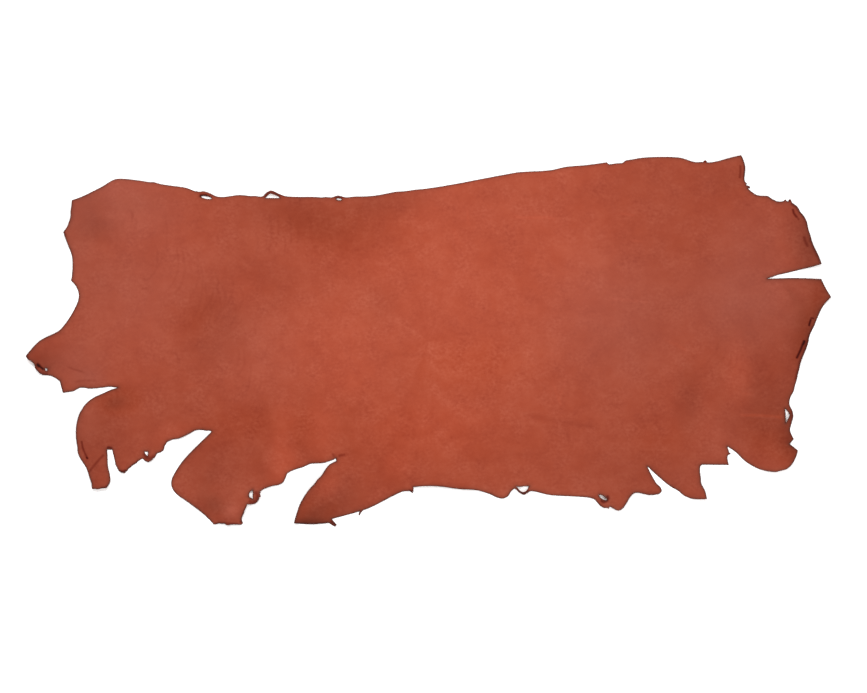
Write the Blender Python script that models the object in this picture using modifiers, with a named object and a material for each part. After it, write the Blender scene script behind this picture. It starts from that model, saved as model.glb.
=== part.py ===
"""A side of chestnut vegetable-tanned cow leather, laid out flat on its flesh side.

One sheet: a straight knife cut along the backbone, and the natural ragged edge of neck, legs and belly all
round the rest. Metres, +Z up. +X runs along the backbone from neck to tail, +Y points at the backbone, and
the sheet rests on Z = 0, with the origin below the middle of its box.
"""

import math

import bmesh
import bpy

# Driving dimensions, in metres
LENGTH = 2.414  # cheek tip to rump tip, along the backbone
THICKNESS = 0.002
CELL = 0.030  # spacing of the sheet's own points, fine enough for its swells

# The tables below are in millimetres of a pattern that is 2414 mm long and 1114 mm wide.
PATTERN_LENGTH = 2414
PATTERN_WIDTH = 1114
MM = LENGTH / PATTERN_LENGTH

EDGE_STEPS = 2  # straight pieces between two points of the edge
HOLE_STEPS = 4  # and between two points of a hole
PUNCH_DEPTH = 0.05  # half height of the outline's prism, well past the swells
WELD = 0.00001

# The edge, anticlockwise seen from above. Each run goes on from the one before it.
# turn is "sharp" at a corner, a tear or the end of a slit, and "soft" where the edge flows on.
EDGE = {
    # x, y, turn
    "backbone, tail to neck": [
        (937, 557, "sharp"),
        (914, 552, "soft"),
        (880, 543, "soft"),
        (846, 536, "soft"),
        (820, 537, "soft"),
        (798, 537, "soft"),
        (758, 549, "soft"),
        (705, 552, "soft"),
        (635, 549, "soft"),
        (589, 540, "sharp"),
        (583, 535, "sharp"),
        (541, 530, "sharp"),
        (535, 536, "sharp"),
        (475, 528, "soft"),
        (410, 522, "soft"),
        (370, 513, "soft"),
        (318, 509, "soft"),
        (268, 506, "soft"),
        (215, 496, "soft"),
        (110, 476, "soft"),
        (0, 458, "soft"),
        (-90, 449, "soft"),
        (-155, 437, "soft"),
        (-188, 434, "soft"),
        (-225, 433, "soft"),
        (-248, 431, "soft"),
        (-272, 436, "soft"),
        (-290, 431, "soft"),
        (-340, 432, "soft"),
        (-390, 433, "soft"),
        (-430, 435, "soft"),
        (-456, 445, "soft"),
        (-473, 451, "soft"),
        (-488, 443, "soft"),
        (-502, 435, "soft"),
        (-540, 436, "soft"),
        (-570, 438, "soft"),
        (-600, 434, "soft"),
        (-632, 433, "soft"),
        (-655, 443, "soft"),
        (-675, 449, "soft"),
        (-700, 450, "soft"),
        (-725, 459, "soft"),
        (-780, 467, "soft"),
        (-840, 477, "soft"),
        (-905, 485, "soft"),
    ],
    "neck": [
        (-940, 485, "soft"),
        (-975, 465, "soft"),
        (-1010, 447, "soft"),
        (-1045, 431, "soft"),
        (-1069, 422, "sharp"),
        (-1071, 402, "soft"),
        (-1073, 384, "soft"),
        (-1084, 343, "soft"),
        (-1094, 326, "sharp"),
        (-1084, 295, "soft"),
        (-1070, 255, "soft"),
        (-1069, 200, "soft"),
        (-1071, 183, "sharp"),
        (-1057, 164, "soft"),
        (-1049, 135, "soft"),
        (-1059, 102, "soft"),
        (-1081, 65, "soft"),
        (-1107, 32, "soft"),
    ],
    "cheek": [
        (-1140, 15, "soft"),
        (-1166, 0, "soft"),
        (-1191, -26, "soft"),
        (-1207, -45, "sharp"),
        (-1198, -57, "soft"),
        (-1186, -67, "soft"),
        (-1178, -85, "soft"),
        (-1160, -101, "soft"),
        (-1134, -104, "soft"),
        (-1106, -120, "sharp"),
        (-1097, -155, "sharp"),
        (-1064, -150, "soft"),
        (-1043, -140, "soft"),
        (-1017, -143, "soft"),
        (-975, -140, "soft"),
        (-932, -140, "sharp"),
    ],
    "foreleg": [
        (-965, -153, "soft"),
        (-1008, -172, "soft"),
        (-1036, -199, "soft"),
        (-1053, -238, "soft"),
        (-1057, -285, "soft"),
        (-1051, -337, "soft"),
        (-1041, -358, "soft"),
        (-1029, -376, "soft"),
        (-1016, -410, "soft"),
        (-1009, -443, "sharp"),
        (-985, -444, "soft"),
        (-965, -441, "sharp"),
        (-954, -421, "soft"),
        (-960, -378, "soft"),
        (-963, -326, "sharp"),
        (-949, -326, "sharp"),
        (-941, -358, "soft"),
        (-930, -388, "soft"),
        (-918, -394, "soft"),
        (-906, -391, "sharp"),
        (-885, -372, "soft"),
        (-858, -353, "sharp"),
        (-840, -364, "soft"),
        (-821, -347, "soft"),
        (-795, -329, "sharp"),
        (-784, -303, "soft"),
        (-750, -293, "soft"),
        (-728, -284, "soft"),
        (-711, -275, "soft"),
        (-697, -268, "soft"),
        (-656, -269, "sharp"),
    ],
    "brisket": [
        (-651, -272, "sharp"),
        (-682, -303, "soft"),
        (-727, -348, "soft"),
        (-760, -394, "soft"),
        (-772, -428, "soft"),
        (-758, -457, "soft"),
        (-735, -474, "soft"),
        (-713, -490, "soft"),
        (-676, -518, "soft"),
        (-644, -550, "sharp"),
        (-611, -548, "sharp"),
        (-602, -552, "soft"),
        (-583, -550, "soft"),
        (-566, -552, "sharp"),
        (-559, -530, "soft"),
        (-543, -490, "sharp"),
        (-522, -489, "soft"),
        (-507, -474, "soft"),
        (-507, -455, "soft"),
        (-487, -442, "soft"),
        (-467, -435, "soft"),
        (-447, -431, "soft"),
        (-433, -420, "soft"),
        (-423, -398, "soft"),
        (-398, -385, "soft"),
        (-378, -379, "soft"),
        (-355, -369, "soft"),
        (-315, -366, "soft"),
        (-278, -353, "sharp"),
    ],
    "elbow": [
        (-278, -360, "sharp"),
        (-299, -372, "soft"),
        (-321, -403, "soft"),
        (-362, -450, "soft"),
        (-386, -490, "soft"),
        (-404, -547, "sharp"),
        (-350, -550, "soft"),
        (-298, -546, "sharp"),
        (-280, -557, "sharp"),
        (-275, -551, "sharp"),
        (-290, -534, "sharp"),
        (-232, -518, "soft"),
        (-213, -513, "soft"),
        (-180, -502, "soft"),
        (-120, -472, "soft"),
        (-92, -458, "soft"),
        (-74, -451, "soft"),
        (-45, -451, "sharp"),
        (-45, -438, "sharp"),
    ],
    "belly": [
        (0, -435, "soft"),
        (70, -441, "soft"),
        (100, -445, "soft"),
        (147, -448, "soft"),
        (187, -461, "soft"),
        (222, -473, "soft"),
        (240, -464, "soft"),
        (257, -443, "soft"),
        (272, -453, "soft"),
        (287, -460, "soft"),
        (305, -451, "soft"),
        (322, -453, "soft"),
        (362, -462, "soft"),
        (390, -464, "soft"),
        (440, -467, "soft"),
        (470, -469, "soft"),
        (497, -475, "soft"),
        (514, -494, "soft"),
        (529, -501, "soft"),
        (541, -498, "sharp"),
        (555, -504, "soft"),
        (569, -511, "soft"),
        (586, -498, "soft"),
        (605, -468, "soft"),
        (619, -456, "soft"),
        (650, -460, "soft"),
        (684, -461, "soft"),
        (698, -453, "soft"),
        (698, -442, "soft"),
        (685, -428, "soft"),
        (674, -410, "soft"),
        (656, -377, "sharp"),
    ],
    "flank": [
        (689, -406, "soft"),
        (725, -436, "soft"),
        (745, -447, "soft"),
        (785, -472, "soft"),
        (835, -474, "sharp"),
        (829, -449, "soft"),
        (821, -431, "soft"),
        (816, -408, "soft"),
        (814, -385, "soft"),
        (815, -375, "sharp"),
        (821, -371, "sharp"),
        (901, -372, "sharp"),
        (897, -348, "soft"),
        (901, -332, "soft"),
        (896, -317, "sharp"),
    ],
    "hind leg": [
        (920, -332, "soft"),
        (941, -353, "soft"),
        (965, -371, "soft"),
        (1018, -391, "soft"),
        (1072, -385, "soft"),
        (1098, -357, "soft"),
        (1108, -328, "sharp"),
        (1083, -309, "sharp"),
        (1096, -294, "sharp"),
        (1085, -268, "soft"),
        (1094, -226, "soft"),
        (1091, -208, "soft"),
        (1083, -190, "soft"),
        (1085, -171, "soft"),
        (1096, -144, "soft"),
        (1104, -118, "soft"),
        (1117, -62, "soft"),
        (1138, -9, "soft"),
        (1143, 15, "soft"),
        (1157, 45, "soft"),
        (1184, 105, "soft"),
    ],
    "rump": [
        (1207, 132, "sharp"),
        (1191, 160, "soft"),
        (1178, 186, "sharp"),
        (1100, 189, "soft"),
        (1020, 187, "sharp"),
        (1045, 197, "soft"),
        (1075, 204, "soft"),
        (1115, 214, "soft"),
        (1150, 222, "soft"),
        (1179, 231, "sharp"),
        (1168, 259, "soft"),
        (1155, 286, "soft"),
        (1137, 347, "soft"),
        (1124, 377, "soft"),
        (1116, 385, "soft"),
        (1108, 401, "soft"),
        (1096, 411, "soft"),
        (1084, 418, "soft"),
        (1070, 420, "soft"),
        (1055, 418, "soft"),
        (1038, 422, "soft"),
        (1018, 435, "sharp"),
        (985, 438, "soft"),
        (968, 449, "soft"),
        (957, 460, "soft"),
        (949, 480, "soft"),
        (948, 495, "soft"),
        (949, 525, "soft"),
    ],
}

# Holes that the toggles of the drying frame pulled open. Each is a lens between two pointed ends.
TOGGLE_HOLES = [
    # x, y, length, bulge to the left of its direction, bulge to the right, direction in degrees
    (-668, 431, 38, 4, 4, -14),
    (-468, 429, 45, 14, 0, 0),
    (-270, 425, 18, 2, 2, 0),
    (-846, -338, 19, 8, 2, -58),
    (-527, -460, 26, 0, 14, -90),
    (283, -436, 38, 0, 18, 0),
    (521, -468, 23, 6, 5, -42),
    (1070, -224, 42, 12, 0, -88),
    (-1160, -78, 34, 1.5, 1.5, -42),
]

# Where the sheet lifts off the surface under it: soft oval swells, flat everywhere else.
SWELLS = [
    # where, x, y, length, width, direction in degrees, rise
    ("cheek tip", -1185, -45, 190, 130, 38, 11),
    ("neck corner", -1075, 350, 210, 120, 85, 8),
    ("neck crest", -900, 440, 330, 130, 3, 7),
    ("withers", -330, 370, 240, 150, -15, 5),
    ("shoulder", -470, 225, 320, 160, 20, 4),
    ("foreleg shank", -985, -395, 190, 100, 80, 8),
    ("foreleg knee", -1035, -270, 220, 100, 92, 6),
    ("brisket tip", -585, -505, 180, 120, 62, 9),
    ("brisket ridge", -480, -350, 210, 100, 96, 6),
    ("elbow ridge", -315, -445, 260, 110, 49, 9),
    ("belly edge", 30, -420, 380, 110, -2, 6),
    ("loin crease", 400, -235, 340, 110, -13, 4),
    ("belly tab", 560, -475, 150, 110, 70, 8),
    ("flank point", 805, -430, 160, 100, 100, 9),
    ("stifle ridge", 1005, -225, 210, 110, -3, 8),
    ("hock", 1050, -350, 150, 110, 20, 7),
    ("slit ridge", 1075, 110, 210, 95, -62, 9),
    ("rump rim", 1130, 320, 240, 110, -72, 9),
    ("tail corner", 915, 520, 170, 120, 60, 8),
]

LEATHER_COLOUR = (0.407, 0.081, 0.042, 1.0)
LEATHER_ROUGHNESS = 0.55


def new_collection(name):
    collection = bpy.data.collections.new(name)
    bpy.context.scene.collection.children.link(collection)
    return collection


def edge_points():
    """The whole edge as (x, y, turn), in metres."""
    return [(x * MM, y * MM, turn) for run in EDGE.values() for x, y, turn in run]


def hole_points(x, y, length, left, right, direction):
    """A lens with pointed ends: two points and the crowns of its two sides, in metres."""
    angle = math.radians(direction)
    along = (math.cos(angle), math.sin(angle))
    across = (-along[1], along[0])

    def at(u, v, turn):
        return (
            (x + u * along[0] + v * across[0]) * MM,
            (y + u * along[1] + v * across[1]) * MM,
            turn,
        )

    half = length / 2
    return [at(-half, 0, "sharp"), at(0, -right, "soft"), at(half, 0, "sharp"), at(0, left, "soft")]


def add_loop(curve, points, steps):
    """A closed Bezier spline through the points, straight into and out of the sharp ones."""
    spline = curve.splines.new("BEZIER")
    spline.resolution_u = steps
    spline.bezier_points.add(len(points) - 1)
    spline.use_cyclic_u = True
    for bezier, (x, y, turn) in zip(spline.bezier_points, points):
        bezier.co = (x, y, 0)
        handle = "VECTOR" if turn == "sharp" else "AUTO"
        bezier.handle_left_type = handle
        bezier.handle_right_type = handle


def make_outline(collection):
    """The hide's outline with its holes, as a tall prism to cut the sheet with."""
    curve = bpy.data.curves.new("outline", "CURVE")
    curve.dimensions = "2D"
    curve.fill_mode = "BOTH"
    curve.extrude = PUNCH_DEPTH
    add_loop(curve, edge_points(), EDGE_STEPS)
    for row in TOGGLE_HOLES:
        add_loop(curve, hole_points(*row), HOLE_STEPS)
    drawn = bpy.data.objects.new("outline", curve)
    collection.objects.link(drawn)

    evaluated = drawn.evaluated_get(bpy.context.evaluated_depsgraph_get())
    mesh = bpy.data.meshes.new_from_object(evaluated)
    prism = bpy.data.objects.new("outline_prism", mesh)
    prism.matrix_world = drawn.matrix_world
    collection.objects.link(prism)
    bpy.data.objects.remove(drawn)

    bm = bmesh.new()
    bm.from_mesh(mesh)
    bmesh.ops.remove_doubles(bm, verts=bm.verts, dist=WELD)
    bmesh.ops.recalc_face_normals(bm, faces=bm.faces)
    bm.to_mesh(mesh)
    bm.free()
    prism.hide_render = True
    prism.display_type = "WIRE"
    return prism


def lift(x, y):
    """How far the sheet's underside stands above the surface at x, y, in metres."""
    total = 0.0
    for _, centre_x, centre_y, length, width, direction, rise in SWELLS:
        dx = x / MM - centre_x
        dy = y / MM - centre_y
        angle = math.radians(direction)
        u = (dx * math.cos(angle) + dy * math.sin(angle)) / (length / 2)
        v = (dy * math.cos(angle) - dx * math.sin(angle)) / (width / 2)
        inside = 1 - u * u - v * v
        if inside > 0:
            total += rise * inside**2
    return total * MM


def make_leather():
    material = bpy.data.materials.new("leather")
    material.use_nodes = True
    shader = material.node_tree.nodes["Principled BSDF"]
    shader.inputs["Base Color"].default_value = LEATHER_COLOUR
    shader.inputs["Roughness"].default_value = LEATHER_ROUGHNESS
    shader.inputs["Metallic"].default_value = 0.0
    return material


def make_hide(collection, prism):
    """A sheet a little larger than the hide, lifted into its swells, thickened, and cut to the outline."""
    length = PATTERN_LENGTH * MM + 2 * CELL
    width = PATTERN_WIDTH * MM + 2 * CELL
    bpy.ops.mesh.primitive_grid_add(
        x_subdivisions=math.ceil(length / CELL),
        y_subdivisions=math.ceil(width / CELL),
        size=1,
    )
    hide = bpy.context.object
    hide.name = "hide"
    hide.data.name = "hide"
    for vertex in hide.data.vertices:
        vertex.co.x *= length
        vertex.co.y *= width
        vertex.co.z = lift(vertex.co.x, vertex.co.y)
    for holder in list(hide.users_collection):
        holder.objects.unlink(hide)
    collection.objects.link(hide)

    thicken = hide.modifiers.new("thickness", "SOLIDIFY")
    thicken.thickness = THICKNESS
    thicken.offset = 1.0
    cut = hide.modifiers.new("cut to the outline", "BOOLEAN")
    cut.operation = "INTERSECT"
    cut.solver = "EXACT"
    cut.object = prism
    hide.data.materials.append(make_leather())
    hide.data.shade_smooth()
    hide.data.set_sharp_from_angle(angle=math.radians(40))
    return hide


for leftover in list(bpy.data.objects):
    bpy.data.objects.remove(leftover)
prism = make_outline(new_collection("cutters"))
make_hide(new_collection("leather hide"), prism)
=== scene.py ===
import math
import random

import bmesh
import bpy
import numpy as np
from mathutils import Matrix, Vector, geometry, kdtree, noise


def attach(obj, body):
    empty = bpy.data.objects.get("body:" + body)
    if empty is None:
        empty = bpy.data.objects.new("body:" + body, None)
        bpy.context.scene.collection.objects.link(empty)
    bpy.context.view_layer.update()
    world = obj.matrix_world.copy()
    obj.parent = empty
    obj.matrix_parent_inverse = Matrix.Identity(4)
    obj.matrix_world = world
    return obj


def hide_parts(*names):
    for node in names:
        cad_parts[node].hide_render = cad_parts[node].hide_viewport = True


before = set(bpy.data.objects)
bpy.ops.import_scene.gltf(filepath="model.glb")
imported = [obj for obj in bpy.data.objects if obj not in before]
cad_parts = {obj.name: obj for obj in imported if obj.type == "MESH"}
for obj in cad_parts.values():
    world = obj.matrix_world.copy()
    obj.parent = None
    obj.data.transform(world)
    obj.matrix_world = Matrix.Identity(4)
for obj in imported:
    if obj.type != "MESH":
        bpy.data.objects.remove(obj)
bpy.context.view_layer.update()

bpy.ops.object.select_all(action="DESELECT")


# ============================================================
# The cut. One side of cow leather is a whole skin halved down the backbone with one long knife
# cut. Round the neck, legs, belly and rump its edge is as the skinner and the tannery's trimming
# left it: mostly clean, torn in a few places, and pierced where toggles held it on the frame.
# ============================================================

MM = 0.001
UPPER = 0.2  # a face of the part's sheet whose normal rises more than this belongs to its upper side
SLIVER = 20  # square mm, a hole smaller than this is only what the part's own cut left over
EDGE_STEP = 3.0  # mm between the points drawn along an edge
CLOSE = 0.4  # mm, a point of the part's edge nearer than this to the one before it is dropped
CORNER, HOLE_CORNER = 34.0, 66.0  # degrees of turn that make a corner of the edge, and of a hole
STRAIGHT = 1.5  # degrees of turn under which a point of the edge adds nothing
LONGEST_MITRE = 1.6
CLEAN_STRAY = 0.22  # mm that even a clean cut strays
WAVER = [(13, 4, 1.0), (5.5, 9, 0.7)]  # along a cut: the size of its waves in mm, a seed, and their share
TAG_START, TAG_STEP = 1.5, 2.0  # mm from a tag's root to its first points, and between the next
TAG_TIP = 0.4  # how far a tag's tip stands out, as a share of its width

# Where the edge strays from a clean cut: x, y, radius, how far it strays, all in mm.
RAGGED = [
    (-1165, -95, 60, 0.9),
    (-1045, -145, 80, 0.9),
    (-1075, 330, 90, 0.5),
    (-905, -380, 60, 1.5),
    (-835, -350, 70, 1.3),
    (-780, -310, 50, 0.8),
    (-957, -325, 25, 1.0),
    (-605, -548, 60, 1.3),
    (-525, -495, 60, 1.3),
    (-430, -405, 80, 0.6),
    (-275, -356, 20, 0.8),
    (10, -445, 80, 0.5),
    (560, -500, 60, 0.7),
    (655, -470, 60, 0.6),
    (905, -325, 40, 1.0),
    (1150, -330, 70, 0.7),
    (1120, -60, 90, 0.6),
    (960, 475, 60, 1.0),
    (1060, 415, 70, 0.9),
    (1130, 350, 70, 0.7),
    (560, 533, 60, 0.3),
]

# Tags and shreds pulled out of the edge: the path from the root to the tip, the widths of both, in mm.
TAGS = [
    ([(831, 533), (833, 538)], 11, 8),
    ([(955, 462), (963, 460)], 8, 5),
    ([(950, 473), (954, 472)], 5, 3),
    ([(1081, 413), (1081, 420)], 10, 6),
    ([(1069, 417), (1069, 422)], 6, 4),
    ([(898, -337), (905, -338)], 7, 3),
    ([(-914, -391), (-912, -393)], 8, 5),
    ([(-568, -541), (-564, -542)], 16, 7),
    ([(-509, -464), (-504, -466)], 8, 5),
    ([(-507, -456), (-502, -454)], 5, 3),
    ([(537, -497), (538, -501)], 5, 2),
    ([(-203, -509), (-207, -515), (-209, -521)], 6, 4.5),
    ([(-50, -450), (-46, -455)], 5, 3),
]

# Where the outer edge runs a little off the part's: name, x, y, radius, and how far it moves in x and y.
NUDGES = [
    ("jaw", -1190, -66, 16, 1.4, 1.4),
    ("jaw corner", -1183, -74, 11, 2.6, 0.6),
    ("cheek strand", -1176, -92, 16, 1.5, 1.5),
    ("cheek foot", -955, -138, 26, 0.3, 2.2),
    ("neck end", -1068, 177, 14, -2.0, 0),
    ("neck corner", -1077, 372, 18, 2.6, 0),
    ("neck side", -1082, 350, 28, 1.6, -0.8),
    ("withers", -822, 471, 20, 0.3, 2.2),
    ("first loop", -686, 448, 12, 0, -1.6),
    ("second loop foot", -499, 436, 12, 1.5, -1.8),
    ("beside the second loop", -522, 436, 14, 0, 1.5),
    ("beside the third loop", -306, 428, 16, 0, 1.8),
    ("backbone", -70, 449, 34, 0, -1.8),
    ("loin step", 566, 534, 20, 0, 1.8),
    ("rump", 1140, 336, 20, -2.2, -1.0),
    ("rump foot", 1146, 300, 50, -1.3, 0),
    ("tail notch", 1022, 187, 12, -4.0, 0),
    ("hip", 1091, -151, 20, 1.8, -0.7),
    ("thigh", 1056, -390, 14, -0.4, 1.6),
    ("flank point", 819, -426, 18, -2.2, -0.7),
    ("flank step", 765, -461, 16, 0, -1.8),
    ("flank bay", 662, -382, 12, -0.3, 1.8),
    ("belly lobe", 570, -511, 22, 0.5, 1.8),
    ("belly lobe side", 546, -502, 10, 0, 2.6),
    ("belly loop", 285, -464, 22, 0, -2.0),
    ("belly loop side", 267, -453, 13, -0.9, -1.2),
    ("elbow shred", -290, -551, 12, 0, -1.2),
    ("elbow bay", -330, -417, 14, -1.2, 1.1),
    ("brisket bay", -666, -266, 12, -0.2, -2.0),
    ("brisket corner", -568, -546, 24, 1.8, -1.0),
    ("foreleg loop", -836, -342, 13, 1.0, -2.0),
    ("foreleg loop corner", -825, -342, 12, 2.0, -2.2),
    ("beside the foreleg loop", -812, -337, 13, -1.6, 2.2),
    ("shank side", -1055, -313, 26, 2.2, 0.3),
    ("shank end", -1012, -426, 18, 2.2, 0.5),
    ("shank corner", -978, -441, 14, 0, 1.5),
]

# The same for the edges of the holes.
HOLE_NUDGES = [
    ("second loop", -463, 444, 17, -5.0, -2.4),
    ("belly loop", 279, -450, 17, 0, 2.2),
    ("belly loop top", 274, -431, 15, 0, -2.6),
    ("brisket loop", -542, -458, 15, 2.8, -1.0),
    ("hind loop", 1080, -232, 13, -2.4, 1.0),
    ("foreleg loop top", -848, -328, 12, 0.5, -2.6),
    ("foreleg loop side", -837, -338, 12, -3.0, 1.0),
]

# What is left of toggle holes that have nearly closed: a point in the hole, then the opening as an oval,
# its middle, half length, half width and direction.
CLOSED = [
    ((-1160, -78), (-1146.5, -85.5), 3.8, 2.8, -40),
    ((-668, 431), (-666.5, 430.3), 15.5, 3.5, -10),
    ((-270, 425), (-268.5, 425), 8.0, 2.4, -5),
    ((523, -469), (523, -469), 13.0, 4.3, -30),
]


def steps(line):
    """The step from each point of a closed line to the next."""
    return np.roll(line, -1, 0) - line


def unit(vectors):
    """The same directions, each of length 1."""
    return vectors / np.maximum(np.linalg.norm(vectors, axis=1), 1e-9)[:, None]


def left_of(vectors):
    """The directions turned a quarter to their left."""
    return np.stack([-vectors[:, 1], vectors[:, 0]], axis=1)


def axes(direction):
    """The unit steps along a direction given in degrees, and across it."""
    turn = math.radians(direction)
    return np.array([(math.cos(turn), math.sin(turn)), (-math.sin(turn), math.cos(turn))])


def area(line):
    """The area inside a closed line, negative if it runs clockwise."""
    after = np.roll(line, -1, 0)
    return 0.5 * (line[:, 0] * after[:, 1] - after[:, 0] * line[:, 1]).sum()


def edge_lines(node):
    """The closed lines round a sheet's upper side, in mm, leather on their left, the outline first."""
    bm = bmesh.new()
    bm.from_mesh(node.data)
    bmesh.ops.remove_doubles(bm, verts=bm.verts, dist=0.01 * MM)
    bm.normal_update()
    bm.verts.index_update()
    bm.faces.index_update()
    upper = [face.normal.z > UPPER for face in bm.faces]
    onward = {}
    for face in bm.faces:
        for corner in face.loops if upper[face.index] else ():
            others = [f for f in corner.edge.link_faces if f is not face]
            if not any(upper[f.index] for f in others):
                onward.setdefault(corner.vert.index, []).append(corner.link_loop_next.vert.index)
    place = {v.index: (v.co.x / MM, v.co.y / MM) for v in bm.verts}
    bm.free()
    lines = []
    while any(onward.values()):
        line = [next(i for i in onward if onward[i])]
        while onward[line[-1]]:
            following = onward[line[-1]].pop()
            if following in line:
                first = line.index(following)
                lines.append(np.array([place[i] for i in line[first:]]))
                line = line[:first]
            line.append(following)
    return sorted([line for line in lines if abs(area(line)) > SLIVER], key=area, reverse=True)


def turns(line):
    """The angle in degrees by which a closed line turns at each of its points."""
    run_out = steps(line)
    run_in = np.roll(run_out, 1, 0)
    cross = run_in[:, 0] * run_out[:, 1] - run_in[:, 1] * run_out[:, 0]
    return np.degrees(np.abs(np.arctan2(cross, (run_in * run_out).sum(1))))


def drawn(line, corner):
    """A line through the same points, smooth but for its corners, with a point about every EDGE_STEP."""
    line = line[np.linalg.norm(line - np.roll(line, 1, 0), axis=1) > CLOSE]
    line = line[turns(line) > STRAIGHT]
    sharp = turns(line) > corner
    ahead = unit(steps(line))
    heading = unit(ahead + np.roll(ahead, 1, 0))
    length = np.linalg.norm(steps(line), axis=1)
    points = []
    for i, start in enumerate(line):
        j = (i + 1) % len(line)
        leaving = (ahead[i] if sharp[i] else heading[i]) * length[i]
        arriving = (ahead[i] if sharp[j] else heading[j]) * length[i]
        count = max(1, round(length[i] / EDGE_STEP))
        for t in np.arange(count) / count:
            points.append(
                (2 * t**3 - 3 * t**2 + 1) * start
                + (t**3 - 2 * t**2 + t) * leaving
                + (3 * t**2 - 2 * t**3) * line[j]
                + (t**3 - t**2) * arriving
            )
    return np.array(points)


def inward(line):
    """The direction into the leather at each point of a closed line, longer at a corner, as a mitre is."""
    left = left_of(unit(steps(line)))
    both = left + np.roll(left, 1, 0)
    size = np.maximum(np.linalg.norm(both, axis=1), 1e-9)[:, None]
    return both / size * np.minimum(2 / size, LONGEST_MITRE)


def moved_in(line, amount):
    """The line with each of its points moved into the leather by its own amount."""
    return line + inward(line) * amount[:, None]


def soft_noise(x, y, layers):
    """Smooth noise at points x, y, the sum of its layers: the size of their lumps, a seed and a height."""
    return sum(
        height * np.array([noise.noise(Vector((a / size, b / size, seed))) for a, b in zip(x, y)])
        for size, seed, height in layers
    )


def frayed(line):
    """The line with the small waver of a trimmed edge, and more of it where the edge is torn."""
    stray = np.full(len(line), CLEAN_STRAY)
    for x, y, radius, amount in RAGGED:
        stray += amount * np.clip(1 - (np.hypot(line[:, 0] - x, line[:, 1] - y) / radius) ** 2, 0, 1)
    return moved_in(line, stray * soft_noise(*line.T, WAVER))


def lengths_along(path):
    """How far along a path each of its points lies."""
    return np.concatenate([[0], np.cumsum(np.linalg.norm(np.diff(path, axis=0), axis=1))])


def places_on(path, distances):
    """The places at the given distances along a path."""
    return np.stack([np.interp(distances, lengths_along(path), path[:, k]) for k in (0, 1)], axis=1)


def tagged(line, path, root_width, tip_width):
    """The line with a tongue of leather standing out of it along path."""
    path = np.array(path, float)
    line = np.roll(line, -int(np.linalg.norm(line - path[0], axis=1).argmin()), 0)
    path += line[0] - path[0]
    last, first = 0, len(line)
    clear = root_width / 2 + 1
    while np.linalg.norm(line[last + 1] - path[0]) < clear:
        last += 1
    while np.linalg.norm(line[first - 1] - path[0]) < clear:
        first -= 1
    length = lengths_along(path)[-1]
    at = np.arange(TAG_START, length + 0.1, TAG_STEP)
    spine = places_on(path, at)
    ahead = unit(np.gradient(np.vstack([path[0], spine]), axis=0)[1:])
    side = left_of(ahead) * np.interp(at, [0, length], [root_width, tip_width])[:, None] / 2
    tip = spine[-1] + ahead[-1] * tip_width * TAG_TIP
    return np.vstack([line[last + 1 : first], spine - side, [tip], (spine + side)[::-1]])


def nudged(line, nudges):
    """The line moved a little where the edge runs off the part's."""
    for _, x, y, radius, dx, dy in nudges:
        away = np.hypot(line[:, 0] - x, line[:, 1] - y) / radius
        line = line + np.clip(1 - away**2, 0, 1)[:, None] ** 2 * (dx, dy)
    return line


def oval(middle, half_length, half_width, direction):
    """A closed oval line, clockwise, so that the leather is on its left."""
    along, across = axes(direction)
    angle = -np.linspace(0, 2 * math.pi, round(12 + half_length), endpoint=False)[:, None]
    return middle + half_length * np.cos(angle) * along + half_width * np.sin(angle) * across


outline, *holes = edge_lines(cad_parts["hide"])
edges = [frayed(nudged(drawn(outline, CORNER), NUDGES))]
edges += [frayed(nudged(drawn(line, HOLE_CORNER), HOLE_NUDGES)) for line in holes]
for tag in TAGS:
    edges[0] = tagged(edges[0], *tag)
for inside, *opening in CLOSED:
    hole = min(range(1, len(edges)), key=lambda k: math.dist(edges[k].mean(axis=0), inside))
    edges[hole] = oval(*opening)


# ============================================================
# The lie. The hide is laid grain side up on a flat surface. It dried stretched, so its middle
# lies flat, while the neck, legs and other loose ends have set in soft swells, a few folds and
# creases, and the loops that the toggles pulled stand up a little.
# ============================================================

# Soft oval swells: where, x, y, length, width, direction in degrees, rise. The part's solid has the same.
SWELLS = [
    ("cheek tip", -1185, -45, 190, 130, 38, 11),
    ("neck corner", -1075, 350, 210, 120, 85, 8),
    ("neck crest", -900, 440, 330, 130, 3, 7),
    ("withers", -330, 370, 240, 150, -15, 5),
    ("shoulder", -470, 225, 320, 160, 20, 4),
    ("foreleg shank", -985, -395, 190, 100, 80, 8),
    ("foreleg knee", -1035, -270, 220, 100, 92, 6),
    ("brisket tip", -585, -505, 180, 120, 62, 9),
    ("brisket ridge", -480, -350, 210, 100, 96, 6),
    ("elbow ridge", -315, -445, 260, 110, 49, 9),
    ("belly edge", 30, -420, 380, 110, -2, 6),
    ("loin crease", 400, -235, 340, 110, -13, 4),
    ("belly tab", 560, -475, 150, 110, 70, 8),
    ("flank point", 805, -430, 160, 100, 100, 9),
    ("stifle ridge", 1005, -225, 210, 110, -3, 8),
    ("hock", 1050, -350, 150, 110, 20, 7),
    ("slit ridge", 1075, 110, 210, 95, -62, 9),
    ("rump rim", 1130, 320, 240, 110, -72, 9),
    ("tail corner", 915, 520, 170, 120, 60, 8),
]

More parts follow.
